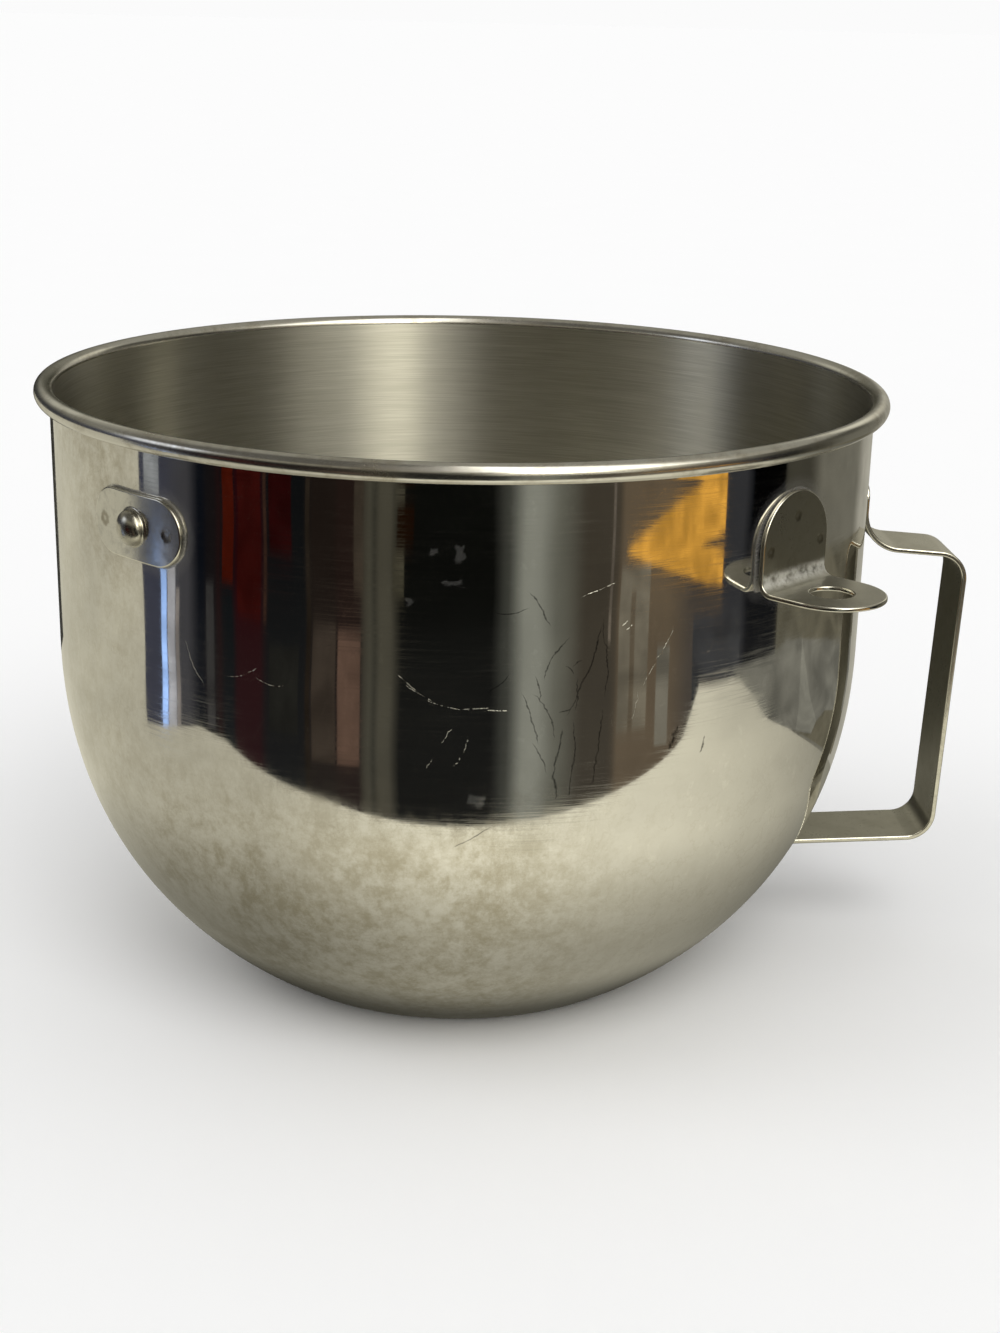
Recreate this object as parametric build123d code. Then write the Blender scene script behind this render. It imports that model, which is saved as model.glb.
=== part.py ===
"""Stainless steel mixing bowl of a bowl-lift stand mixer, in millimetres.

The origin is the centre of the base and +Z points up through the mouth.  The two ear
brackets lie on +X and -X, the latch plate on -Y, and the handle between +X and +Y.
Heights are measured up from the base and depths down from the top of the rim.
"""
from build123d import *
import os
from math import cos, radians, sin, tan

# ---- bowl shell ----
bowl_height = 161.5          # base to the top of the rim
wall_radius = 109.1          # outside of the straight wall
sheet = 1.0                  # steel sheet of the shell
straight_depth = 67.5        # rim top to the end of the straight wall
base_radius = 59.5           # where the belly's end tangent meets the base plane
base_angle = 33.0            # belly above the horizontal where it meets the base, degrees
belly_pull = 16.0            # how long the belly keeps the straight wall's direction
base_pull = 57.0             # how long the belly keeps its direction at the base
base_edge_radius = 4.0       # rounding between the base and the belly
bead_diameter = 4.9          # outside of the rolled rim
curl_sweep = 290.0           # how far round the rim is rolled, degrees
belly_spans = 8              # points that carry the belly's curve to its inside face

# ---- shared by the welded fittings ----
seat_gap = 0.05              # fitting to the wall that it is welded to
dent_ball_radius = 6.0       # electrode tip that leaves a spot-weld dent
dent_depth = 0.3

# ---- ear brackets, one for each pin of the mixer's bowl arms ----
ear_sheet = 1.2
ear_width = 26.0
ear_top_depth = 12.4         # rim top to the top of the upright tab
ear_seat_depth = 35.1        # rim top to the upper face of the level tab
ear_bend_radius = 2.6        # inside of the bend
ear_hole_radius = 5.2
ear_hole_reach = 12.2        # wall to the hole's axis
ear_dent_from_top = 6.2      # top of the tab to the upper dent
ear_side_dent_drop = 13.4    # top of the tab to the two lower dents
ear_side_dent_inset = 3.0    # lower dents in from the tab's edges

# ---- latch plate and its pin ----
latch_sheet = 1.4
latch_length = 32.4
latch_height = 16.4
latch_depth = 23.6           # rim top to the pin's axis
latch_dent_spacing = 23.4
pin_radius = 5.0
pin_collar = 1.4             # straight part of the pin's head
pin_dome = 2.6               # height of the dome on it
pin_shank_radius = 3.0
pin_shank_gap = 0.05

# ---- handle, a bent flat strap ----
strap_width = 20.4
strap_sheet = 1.4
handle_angle = 46.0          # from the +X ear towards +Y, degrees
upper_arm_depth = 44.9       # rim top to the upper arm's underside at the wall
lower_arm_depth = 130.9      # rim top to the lower arm's upper side at the wall
finger_gap_top = 29.0        # wall to the grip at the upper arm
finger_gap_bottom = 26.2     # wall to the grip at the lower arm
upper_arm_fall = 2.2         # the upper arm slopes down to the grip
lower_arm_rise = 1.6         # the lower arm slopes up to the grip
upper_foot_length = 18.0     # along the wall above the upper arm
lower_foot_length = 15.0     # along the belly below the lower arm
foot_bend_radius = 11.4      # wall side of the bend from the upper foot to the arm
grip_bend_radius = 6.8       # finger side of the bends at both ends of the grip
heel_bend_radius = 4.8       # wall side of the bend from the lower arm to its foot
foot_corner_radius = 4.0

# ---- worked out from the sizes above ----
inner_radius = wall_radius - sheet
bead_radius = bead_diameter / 2
flat_radius = base_radius - base_edge_radius * tan(radians(base_angle) / 2)
ear_face = wall_radius + seat_gap
ear_seat_height = bowl_height - ear_seat_depth
ear_top_height = bowl_height - ear_top_depth
latch_back_radius = wall_radius + seat_gap
latch_face_radius = latch_back_radius + latch_sheet
latch_axis_height = bowl_height - latch_depth


def belly_curve():
    """Outside of the lower wall, from the rounded base edge up to the straight wall."""
    slope = radians(base_angle)
    start = Vector(
        flat_radius + base_edge_radius * sin(slope),
        base_edge_radius * (1 - cos(slope)),
    )
    end = Vector(wall_radius, bowl_height - straight_depth)
    return Bezier(
        start,
        start + base_pull * Vector(cos(slope), sin(slope)),
        end - Vector(0, belly_pull),
        end,
    )


def inside_of(curve):
    """The sheet's other face: the curve moved inwards by the sheet's thickness."""
    stations = [step / belly_spans for step in range(belly_spans + 1)]
    points = [curve @ at + sheet * (curve % at).rotate(Axis.Z, 90) for at in stations]
    return Spline(points, tangents=[curve % 0, curve % 1])


def bowl_shell():
    """One sheet: base, belly, straight wall, and the rim rolled outwards into a bead."""
    belly = belly_curve()
    lining = inside_of(belly)
    edge_centre = (flat_radius, base_edge_radius)
    curl_centre = (inner_radius + bead_radius, bowl_height - bead_radius)
    inside_curl = CenterArc(curl_centre, bead_radius - sheet, 180, -curl_sweep)
    outside_curl = CenterArc(curl_centre, bead_radius, 180, -curl_sweep)
    inside_edge = CenterArc(edge_centre, base_edge_radius - sheet, -90, base_angle)
    outline = Curve() + [
        Line((0, 0), (flat_radius, 0)),
        CenterArc(edge_centre, base_edge_radius, -90, base_angle),
        belly,
        Line(belly @ 1, inside_curl @ 0),
        inside_curl,
        Line(inside_curl @ 1, outside_curl @ 1),
        outside_curl,
        Line(outside_curl @ 0, lining @ 1),
        lining,
        inside_edge,
        Line(inside_edge @ 0, (0, sheet)),
        Line((0, sheet), (0, 0)),
    ]
    return revolve(Plane.XZ * make_face(outline), Axis.Z)


def weld_dent(location):
    """Shallow round dent, sunk along the location's Z axis."""
    return location * Pos(0, 0, dent_ball_radius - dent_depth) * Sphere(dent_ball_radius)


def ear_bracket():
    """Bent tab on the +X side: upright against the wall, then level with its hole."""
    half_width = ear_width / 2
    hole_x = wall_radius + ear_hole_reach
    tip_x = hole_x + half_width
    lower_face = ear_seat_height - ear_sheet
    back = FilletPolyline(
        (ear_face, ear_top_height),
        (ear_face, lower_face),
        (tip_x, lower_face),
        radius=ear_bend_radius + ear_sheet,
    )
    section = make_face(offset(back, amount=ear_sheet, side=Side.LEFT))
    strip = extrude(Plane.XZ * section, half_width, both=True)

    arch_height = ear_top_height - half_width
    arch = Pos(0, arch_height) * Circle(half_width)
    arch += Pos(0, arch_height - ear_top_height) * Rectangle(ear_width, 2 * ear_top_height)
    upright = extrude(Plane.YZ * arch, 2 * tip_x)
    tongue = Pos(hole_x, 0) * Circle(half_width) + Rectangle(2 * hole_x, ear_width)
    level = extrude(tongue, 2 * bowl_height)
    bracket = strip & upright & level

    bracket -= Pos(hole_x, 0, ear_seat_height) * Cylinder(ear_hole_radius, 4 * ear_sheet)
    side_y = half_width - ear_side_dent_inset
    dents = [(0, ear_dent_from_top), (-side_y, ear_side_dent_drop), (side_y, ear_side_dent_drop)]
    for y, drop in dents:
        face = Pos(ear_face + ear_sheet, y, ear_top_height - drop)
        bracket -= weld_dent(face * Rot(0, 90, 0))
    return bracket


def latch_plate():
    """Stadium-shaped plate on the -Y side, rolled to the wall's curve, with the pin's hole."""
    ring = Cylinder(latch_face_radius, latch_height) - Cylinder(latch_back_radius, latch_height)
    stadium = extrude(
        Plane.XZ * SlotOverall(latch_length, latch_height), latch_face_radius + latch_sheet
    )
    plate = Pos(0, 0, latch_axis_height) * (ring & stadium)
    hole = Cylinder(pin_shank_radius + pin_shank_gap, 4 * latch_sheet)
    plate -= Pos(0, -latch_face_radius, latch_axis_height) * Rot(90, 0, 0) * hole
    dent_angle = degrees_of_arc(latch_dent_spacing / 2, latch_face_radius)
    for angle in (-dent_angle, dent_angle):
        face = Rot(0, 0, angle) * Pos(0, -latch_face_radius, latch_axis_height)
        plate -= weld_dent(face * Rot(90, 0, 0))
    return plate


def degrees_of_arc(length, radius):
    """Angle of an arc of this length, in degrees."""
    return length / radius / radians(1)


def latch_pin():
    """Headed pin: its shank fills the plate's hole, its domed head stands out along -Y."""
    shank_start = latch_back_radius
    collar_end = latch_face_radius + pin_collar
    tip = collar_end + pin_dome
    outline = Curve() + [
        Line((0, shank_start), (pin_shank_radius, shank_start)),
        Line((pin_shank_radius, shank_start), (pin_shank_radius, latch_face_radius)),
        Line((pin_shank_radius, latch_face_radius), (pin_radius, latch_face_radius)),
        Line((pin_radius, latch_face_radius), (pin_radius, collar_end)),
        TangentArc((0, tip), (pin_radius, collar_end), tangent=(1, 0)),
        Line((0, tip), (0, shank_start)),
    ]
    pin = revolve(Plane.XZ * make_face(outline), Axis.Z)
    return Pos(0, 0, latch_axis_height) * Rot(90, 0, 0) * pin


def belly_at(height):
    """Outside point of the belly at this height, and the unit tangent down the wall there."""
    belly = belly_curve()
    low, high = 0.0, 1.0
    for _ in range(40):
        middle = (low + high) / 2
        if (belly @ middle).Y < height:
            low = middle
        else:
            high = middle
    return belly @ low, -(belly % low)


def handle():
    """Flat strap, bent in one vertical plane, from the wall out to the grip and back."""
    foot_radius = wall_radius + seat_gap
    upper_height = bowl_height - upper_arm_depth
    lower_height = bowl_height - lower_arm_depth
    grip_top = Vector(wall_radius + finger_gap_top, upper_height - upper_arm_fall)
    grip_bottom = Vector(wall_radius + finger_gap_bottom, lower_height + lower_arm_rise)

    contact, down = belly_at(lower_height - lower_foot_length / 2)
    foot_middle = contact + seat_gap * Vector(-down.Y, down.X)
    heel = foot_middle + (lower_height - foot_middle.Y) / down.Y * down
    foot_end = foot_middle + lower_foot_length / 2 * down

    back_face = FilletPolyline(
        (foot_radius, upper_height + upper_foot_length),
        (foot_radius, upper_height),
        grip_top,
        grip_bottom,
        heel,
        foot_end,
        radius=[foot_bend_radius, grip_bend_radius, grip_bend_radius, heel_bend_radius],
    )
    section = make_face(offset(back_face, amount=strap_sheet, side=Side.LEFT))
    strap = extrude(Plane.XZ * section, strap_width / 2, both=True)
    ends = strap.edges().filter_by(lambda edge: abs(edge.length - strap_sheet) < 0.001)
    strap = fillet(ends, foot_corner_radius)
    return Rot(0, 0, handle_angle) * strap


ear_right = ear_bracket()
nodes = {
    "bowl_shell": bowl_shell(),
    "ear_bracket_right": ear_right,
    "ear_bracket_left": Rot(0, 0, 180) * ear_right,
    "latch_plate": latch_plate(),
    "latch_pin": latch_pin(),
    "handle": handle(),
}

os.makedirs("parts", exist_ok=True)
for name, shape in nodes.items():
    export_step(shape, f"parts/{name}.step")
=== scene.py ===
"""Looks of the mixing bowl of a bowl-lift stand mixer: polished shell, welded fittings, handle.

Lengths are in millimetres in the CAD frame and become metres where a mesh is made.  The pieces
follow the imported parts' sizes, and their rolled, bent and rounded edges are modelled.
"""

from itertools import accumulate
from math import asin, cos, hypot, pi, radians, sin, tan

import bmesh
import bpy
from mathutils import Matrix, Vector


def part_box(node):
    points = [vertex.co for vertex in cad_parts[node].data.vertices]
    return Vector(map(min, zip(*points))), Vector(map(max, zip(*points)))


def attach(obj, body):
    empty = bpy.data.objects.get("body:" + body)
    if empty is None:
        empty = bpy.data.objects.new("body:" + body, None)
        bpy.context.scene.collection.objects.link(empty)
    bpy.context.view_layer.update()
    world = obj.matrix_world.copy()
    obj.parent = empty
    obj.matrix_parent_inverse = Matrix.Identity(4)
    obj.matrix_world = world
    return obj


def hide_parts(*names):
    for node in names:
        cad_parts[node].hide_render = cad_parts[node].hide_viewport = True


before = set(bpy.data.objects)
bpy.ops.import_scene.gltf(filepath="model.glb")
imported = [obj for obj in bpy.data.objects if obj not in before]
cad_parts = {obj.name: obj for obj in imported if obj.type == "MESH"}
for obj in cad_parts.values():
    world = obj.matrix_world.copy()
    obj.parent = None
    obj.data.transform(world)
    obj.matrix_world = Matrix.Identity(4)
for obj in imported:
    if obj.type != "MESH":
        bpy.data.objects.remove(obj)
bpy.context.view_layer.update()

MM = 0.001


def cad_box(node):
    """Lowest and highest corner of a CAD node, in millimetres."""
    low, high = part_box(node)
    return low / MM, high / MM


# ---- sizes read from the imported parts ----
_, shell_high = cad_box("bowl_shell")
ear_low, ear_high = cad_box("ear_bracket_right")
plate_low, plate_high = cad_box("latch_plate")
pin_low, pin_high = cad_box("latch_pin")
bowl_height = shell_high.z
rim_radius = shell_high.x
ear_half_width = (ear_high.y - ear_low.y) / 2
plate_length = plate_high.x - plate_low.x
plate_half_height = (plate_high.z - plate_low.z) / 2
plate_middle = (plate_high.z + plate_low.z) / 2

# ---- bowl shell ----
sheet = 1.0
bead_radius = 2.45
curl_sweep = 290.0           # degrees that the rim is rolled through
wall_radius = rim_radius - 2 * bead_radius + sheet
inner_radius = wall_radius - sheet
straight_depth = 67.5
base_radius = 59.5
base_angle = 33.0
base_edge_radius = 4.0
belly_pull = 16.0
base_pull = 57.0
flat_radius = base_radius - base_edge_radius * tan(radians(base_angle) / 2)

# ---- welded fittings ----
seat_gap = 0.05              # from the wall to the fittings' backs
seat_radius = wall_radius + seat_gap
ear_sheet = 1.2
ear_bend_radius = 2.6
ear_hole_radius = 5.2
ear_dent_from_top = 6.2
ear_side_dent_drop = 13.4
ear_side_dent_inset = 3.0
ear_side_dent_y = ear_half_width - ear_side_dent_inset
latch_sheet = 1.4
latch_dent_spacing = 23.4
pin_radius = 5.0
pin_skirt = 0.7              # hollow rounding from the plate up to the pin's dome
pin_foot_round = 0.2
pin_flatness = 0.5           # the dome's tip lies this much inside the solid's
dent_radius = 1.5
dent_depth = 0.09
fitting_edge_radius = 0.45   # rounding along the edges of the fittings

# ---- handle ----
strap_width = 20.4
strap_sheet = 1.4
handle_angle = 46.0          # from +X towards +Y, degrees
upper_arm_depth = 44.9
lower_arm_depth = 130.9
finger_gap_top = 29.0
finger_gap_bottom = 26.2
upper_arm_fall = 2.2
lower_arm_rise = 1.6
upper_foot_length = 18.0
lower_foot_length = 15.0
foot_bend_radius = 11.4
grip_bend_radius = 6.8
heel_bend_radius = 4.8
foot_corner_radius = 4.0

# ---- camera, with the focal length in pixels of the photograph ----
camera_azimuth = 44.0        # round from -Y towards +X, degrees
camera_distance = 535.2      # from the bowl's axis
camera_height = 253.8
camera_pitch = 18.06         # below the horizontal
camera_yaw = 1.23            # to the right of the bowl's axis
camera_roll = 1.34
focal_pixels = 2000.0
photo_height = 1333
sensor = 36.0


# ======== Meshes ========

NORMAL_LAYER = "rest_normal"


def arc_points(centre, radius, start, sweep, steps):
    """Points of an arc, angles in degrees, both ends included."""
    angles = [radians(start + sweep * step / steps) for step in range(steps + 1)]
    return [(centre[0] + radius * cos(angle), centre[1] + radius * sin(angle)) for angle in angles]


def spaced(start, end, step):
    """Places from start to end, evenly spaced by about a step."""
    count = max(1, round((end - start) / step))
    return [start + (end - start) * index / count for index in range(count + 1)]


def join_rows(bm, lower, upper, material_index=0):
    """Faces between two rows of vertices; a vertex that both sides of a face share counts once."""
    for corners in zip(lower, lower[1:], upper[1:], upper):
        face = bm.faces.new(list(dict.fromkeys(corners)))
        face.material_index = material_index


def new_object(name, bm, materials):
    mesh = bpy.data.meshes.new(name)
    bm.to_mesh(mesh)
    bm.free()
    for material in materials:
        mesh.materials.append(material)
    obj = bpy.data.objects.new(name, mesh)
    bpy.context.scene.collection.objects.link(obj)
    return obj


def finish_object(name, bm, materials, sharp_angle=40.0):
    """The mesh in metres as a smooth-shaded object, with exact normals where it has a layer."""
    bmesh.ops.scale(bm, vec=(MM, MM, MM), verts=bm.verts)
    exact = NORMAL_LAYER in bm.verts.layers.float_vector
    bm.normal_update()
    for face in bm.faces:
        face.smooth = True
    for edge in bm.edges:
        if not exact and len(edge.link_faces) == 2:
            edge.smooth = edge.calc_face_angle(0) < radians(sharp_angle)
    obj = new_object(name, bm, materials)
    if exact:
        layer = obj.data.attributes[NORMAL_LAYER]
        normals = [tuple(item.vector) for item in layer.data]
        obj.data.attributes.remove(layer)
        obj.data.normals_split_custom_set_from_vertices(normals)
    return obj


def lathe(bm, spans, segments):
    """Turns spans of (points, material index) about Z; a point on the axis becomes one vertex."""
    turns = [2 * pi * step / segments for step in range(segments)]
    rings = {}

    def ring(point):
        radius, height = key = (round(point[0], 5), round(point[1], 5))
        if key not in rings and radius == 0:
            rings[key] = [bm.verts.new((0, 0, height))] * (segments + 1)
        elif key not in rings:
            corners = [(radius * cos(turn), radius * sin(turn), height) for turn in turns]
            verts = [bm.verts.new(corner) for corner in corners]
            rings[key] = verts + verts[:1]
        return rings[key]

    for points, material_index in spans:
        for start, end in zip(points, points[1:]):
            join_rows(bm, ring(start), ring(end), material_index)


class BentPath:
    """Straight runs joined by arcs in a plane, measured by length from its start."""

    def __init__(self, corners, radii):
        self.pieces = []     # length, start, direction at the start, and angle turned to the left
        points = [Vector(corner) for corner in corners]
        start = points[0]
        for before, corner, after, radius in zip(points, points[1:], points[2:], radii):
            incoming, outgoing = (corner - before).normalized(), (after - corner).normalized()
            turn = -incoming.angle_signed(outgoing)
            cut = radius * tan(abs(turn) / 2)
            bend = corner - cut * incoming
            self.pieces.append(((bend - start).length, start, incoming, 0.0))
            self.pieces.append((radius * abs(turn), bend, incoming, turn))
            start = corner + cut * outgoing
        self.pieces.append(((points[-1] - start).length, start, outgoing, 0.0))
        self.ends = list(accumulate(piece[0] for piece in self.pieces))
        self.length = self.ends[-1]

    def at(self, distance):
        """Point and direction at a length along the path, which goes straight on past its ends."""
        place = sum(distance > end for end in self.ends[:-1])
        length, start, direction, turn = self.pieces[place]
        distance -= self.ends[place] - length
        if not turn:
            return start + distance * direction, direction
        radius = length / turn
        spoke = radius * Vector((direction.y, -direction.x))
        rotation = Matrix.Rotation(turn * distance / length, 2)
        return start - spoke + rotation @ spoke, rotation @ direction

    def bends(self):
        """Lengths at which each arc starts and ends."""
        return [(end - piece[0], end) for end, piece in zip(self.ends, self.pieces) if piece[3]]


def rounded_strip(start, end, half_width, corner, steps):
    """Outline of a strip with rounded corners, counter-clockwise, whose length runs along Y."""
    side, top, bottom = half_width - corner, end - corner, start + corner
    centres = [(side, top), (-side, top), (-side, bottom), (side, bottom)]
    arcs = [
        arc_points(centre, corner, 90 * index, 90, steps) for index, centre in enumerate(centres)
    ]
    return list(dict.fromkeys(sum(arcs, [])))


def directions_out(loop):
    """Unit directions out of a counter-clockwise loop at each of its points."""
    spans = zip(loop[-1:] + loop[:-1], loop[1:] + loop[:1])
    along = [(Vector(after) - Vector(before)).normalized() for before, after in spans]
    return [Vector((direction.y, -direction.x)) for direction in along]


def flat_sheet(bm, outline, holes, thickness, edge_radius, edge_steps=6):
    """A plate in the XY plane, Z from 0 to its thickness, with rounded edges.

    Each vertex keeps its exact normal in the layer that finish_object reads.
    """
    rest = bm.verts.layers.float_vector.new(NORMAL_LAYER)
    section = []
    for step in range(edge_steps + 1):
        angle = pi / 2 * step / edge_steps
        inwards, height = edge_radius * (1 - sin(angle)), edge_radius * (1 - cos(angle))
        section.append((inwards, height, sin(angle), -cos(angle)))
    section += [(i, thickness - height, out, -up) for i, height, out, up in reversed(section)]
    rims = ([], [])
    for loop, side in [(outline, 1)] + [(hole, -1) for hole in holes]:
        spokes = [(Vector(point), side * away) for point, away in zip(loop, directions_out(loop))]
        rings = []
        for inwards, height, out, up in section:
            ring = []
            for point, away in spokes:
                vert = bm.verts.new((*(point - inwards * away), height))
                vert[rest] = Vector((*(out * away), up))
                ring.append(vert)
            rings.append(ring + ring[:1])
        for lower, upper in zip(rings, rings[1:]):
            join_rows(bm, lower, upper, 1)
        for edges, ring in zip(rims, (rings[0], rings[-1])):
            edges += [bm.edges.get(pair) for pair in zip(ring, ring[1:])]
    for edges in rims:
        bmesh.ops.triangle_fill(bm, edges=edges, use_beauty=True, use_dissolve=False)


def slice_sheet(bm, axis, places):
    """Cuts the plate along lines at these places, so that it can be bent or dented there."""
    normal = Vector((1, 0, 0)) if axis == "x" else Vector((0, 1, 0))
    for place in places:
        parts = bm.verts[:] + bm.edges[:] + bm.faces[:]
        bmesh.ops.bisect_plane(bm, geom=parts, dist=1e-5, plane_co=normal * place, plane_no=normal)


def dent_sheet(bm, dents, thickness):
    """Sinks a soft round dent into the upper face at each place."""
    rest = bm.verts.layers.float_vector[NORMAL_LAYER]
    slope = 2 * dent_depth / dent_radius
    for vert in bm.verts:
        if vert.co.z < thickness - 1e-4:
            continue
        for dent in dents:
            away = (vert.co.xy - Vector(dent)) / dent_radius
            if away.length < 1:
                vert.co.z -= dent_depth * (1 - away.length_squared)
                vert[rest] = Vector((-away.x * slope, -away.y * slope, 1)).normalized()


def shape_sheet(bm, placing):
    """Moves each vertex and its normal from the flat plate to where the bent plate has them.

    Placing turns a flat point into its place and the directions of the plate's X, Y and Z there.
    """
    rest = bm.verts.layers.float_vector[NORMAL_LAYER]
    for vert in bm.verts:
        place, across, along, out = placing(vert.co)
        normal = vert[rest].copy()
        vert.co = place
        vert[rest] = (across * normal.x + along * normal.y + out * normal.z).normalized()
    bmesh.ops.recalc_face_normals(bm, faces=bm.faces)


def bent_strip(path, turn):
    """Placing for a strip that follows a path in the XZ plane, then turned about Z."""
    turning = Matrix.Rotation(turn, 3, "Z")
    across = Vector((0, -1, 0))

    def placing(point):
        centre, heading = path.at(point.y)
        along = Vector((heading.x, 0, heading.y))
        out = Vector((-heading.y, 0, heading.x))
        place = Vector((centre.x, 0, centre.y)) + across * point.x + out * point.z
        return turning @ place, turning @ across, turning @ along, turning @ out

    return placing


def belly_curve(steps=72):
    """Points and normals of the lower wall's outside, from the rounded base edge upwards."""
    slope = radians(base_angle)
    start = Vector((
        flat_radius + base_edge_radius * sin(slope), base_edge_radius * (1 - cos(slope))
    ))
    end = Vector((wall_radius, bowl_height - straight_depth))
    leaving = start + base_pull * Vector((cos(slope), sin(slope)))
    pulls = [start, leaving, end - Vector((0, belly_pull)), end]
    points, normals = [], []
    for step in range(steps + 1):
        t = step / steps
        weights = [(1 - t) ** 3, 3 * t * (1 - t) ** 2, 3 * t * t * (1 - t), t ** 3]
        rates = [-(1 - t) ** 2, (1 - t) * (1 - 3 * t), t * (2 - 3 * t), t * t]
        point, along = [
            sum((share * pull for share, pull in zip(shares, pulls)), Vector((0, 0)))
            for shares in (weights, rates)
        ]
        points.append(point)
        normals.append(Vector((along.y, -along.x)).normalized())
    return points, normals


def build_shell(outside, inside, bead):
    """The spun shell with its rolled rim; outside, bead and inside have their own finish."""
    edge_centre = (flat_radius, base_edge_radius)
    curl_centre = (inner_radius + bead_radius, bowl_height - bead_radius)
    belly, normals = belly_curve()
    inner_belly = [tuple(point - sheet * normal) for point, normal in zip(belly, normals)]
    outer_edge = arc_points(edge_centre, base_edge_radius, -90, base_angle, 10)
    inner_edge = arc_points(edge_centre, base_edge_radius - sheet, -90, base_angle, 8)
    inner_curl = arc_points(curl_centre, bead_radius - sheet, 180, -curl_sweep, 30)
    outer_curl = arc_points(curl_centre, bead_radius, 180 - curl_sweep, curl_sweep, 60)
    wall_steps = spaced(bowl_height - straight_depth, curl_centre[1], 4.0)
    base_steps = spaced(0, flat_radius, 8.0)
    spans = [
        ([(radius, 0) for radius in base_steps], 0),
        (outer_edge + [tuple(point) for point in belly[1:]], 0),
        ([(wall_radius, height) for height in wall_steps], 0),
        (inner_curl, 2),
        ([inner_curl[-1], outer_curl[0]], 2),
        (outer_curl, 2),
        ([(inner_radius, height) for height in reversed(wall_steps)], 1),
        (inner_belly[::-1], 1),
        (inner_edge[::-1], 1),
        ([(radius, sheet) for radius in reversed(base_steps)], 1),
    ]
    bm = bmesh.new()
    lathe(bm, spans, segments=384)
    bmesh.ops.remove_doubles(bm, verts=bm.verts, dist=0.002)
    bmesh.ops.recalc_face_normals(bm, faces=bm.faces)
    return finish_object("shell", bm, [outside, inside, bead])


def build_ear(name, turn, face, edge):
    """A bent tab: its upright is welded to the wall, and the arm's pin goes through its tongue."""
    corners = [(seat_radius, ear_high.z), (seat_radius, ear_low.z), (ear_high.x, ear_low.z)]
    path = BentPath(corners, [ear_bend_radius + ear_sheet])
    outline = rounded_strip(0, path.length, ear_half_width, ear_half_width, 14)
    hole = arc_points((0, path.length - ear_half_width), ear_hole_radius, 0, 360, 72)[:-1]
    side_dents = [(side * ear_side_dent_y, ear_side_dent_drop) for side in (-1, 1)]
    bend_start, bend_end = path.bends()[0]
    bm = bmesh.new()
    flat_sheet(bm, outline, [hole], ear_sheet, fitting_edge_radius)
    slice_sheet(bm, "y", spaced(0.5, ear_side_dent_drop + 3, 0.45))
    slice_sheet(bm, "x", spaced(0.5 - ear_half_width, ear_half_width - 0.5, 0.5))
    slice_sheet(bm, "y", spaced(bend_start, bend_end, 0.4))
    slice_sheet(bm, "y", spaced(bend_end + 1, path.length - 1, 1.5))
    dent_sheet(bm, [(0, ear_dent_from_top)] + side_dents, ear_sheet)
    shape_sheet(bm, bent_strip(path, turn))
    return finish_object(name, bm, [face, edge])


def build_latch_plate(face, edge):
    """The stadium-shaped plate, rolled to the wall, that carries the latch pin."""
    half_length = plate_length / 2
    outline = rounded_strip(-half_length, half_length, plate_half_height, plate_half_height, 24)
    bm = bmesh.new()
    flat_sheet(bm, outline, [], latch_sheet, fitting_edge_radius)
    slice_sheet(bm, "y", spaced(0.5 - half_length, half_length - 0.5, 0.45))
    slice_sheet(bm, "x", spaced(0.5 - plate_half_height, plate_half_height - 0.5, 0.5))
    dent_sheet(bm, [(0, latch_dent_spacing / 2), (0, -latch_dent_spacing / 2)], latch_sheet)

    def placing(point):
        angle = asin(point.y / (seat_radius + latch_sheet))
        out = Vector((sin(angle), -cos(angle), 0))
        place = out * (seat_radius + point.z) + Vector((0, 0, plate_middle - point.x))
        return place, Vector((0, 0, -1)), Vector((cos(angle), sin(angle), 0)), out

    shape_sheet(bm, placing)
    return finish_object("latch_plate_rolled", bm, [face, edge])


def build_latch_pin(polished):
    """The pin's head: a hollow skirt that rises from the plate into a smooth dome."""
    plate_face = seat_radius + latch_sheet
    start = plate_face - latch_sheet / 2
    shoulder = plate_face + pin_skirt
    rise = -pin_low.y - pin_flatness - shoulder
    dome = arc_points((0, 0), 1, 0, 90, 40)[1:-1]
    outline = [(pin_radius - pin_foot_round, start), (pin_radius, start + pin_foot_round)]
    outline += arc_points((pin_radius, shoulder), pin_skirt, -90, -90, 10)
    outline += [((pin_radius - pin_skirt) * x, shoulder + rise * y) for x, y in dome]
    outline.append((0, shoulder + rise))
    bm = bmesh.new()
    lathe(bm, [([(0, start), outline[0]], 0), (outline, 0)], segments=128)
    bmesh.ops.rotate(bm, verts=bm.verts, matrix=Matrix.Rotation(radians(90), 3, "X"))
    bmesh.ops.translate(bm, verts=bm.verts, vec=(0, 0, (pin_high.z + pin_low.z) / 2))
    bmesh.ops.recalc_face_normals(bm, faces=bm.faces)
    return finish_object("latch_pin_head", bm, [polished], sharp_angle=60.0)


def belly_at(height):
    """Outside point of the belly at this height, and the unit tangent down the wall there."""
    point, normal = min(zip(*belly_curve(steps=400)), key=lambda pair: abs(pair[0].y - height))
    return point, Vector((normal.y, -normal.x))


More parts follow.
